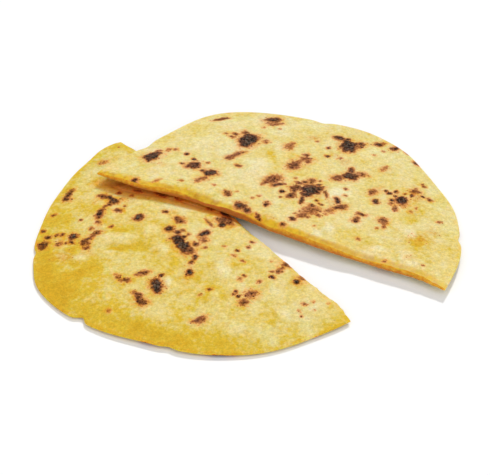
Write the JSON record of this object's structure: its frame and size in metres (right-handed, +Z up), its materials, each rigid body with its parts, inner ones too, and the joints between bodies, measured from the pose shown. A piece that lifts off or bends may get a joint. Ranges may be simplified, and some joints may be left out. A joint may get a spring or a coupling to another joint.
{
  "type": "makki roti",
  "caption": "Round maize flatbread, spotted brown by the griddle and cut across with a knife, the right half turned aside and leaning on the cut edge of the left",
  "frame": {"origin": "on the table, under the middle of the bread's outline box", "axes": "+Z is up, through the thickness; +X is to the right and +Y away, as the bread is looked at with its cut opening to the lower right"},
  "size_m": [0.1866, 0.1824, 0.0101],
  "materials": {
    "crust": "dry matte maize crust with dark griddle spots"
  },
  "bodies": {
    "root": {"left_half": "crust", "right_half": "crust"}
  },
  "joints": []
}
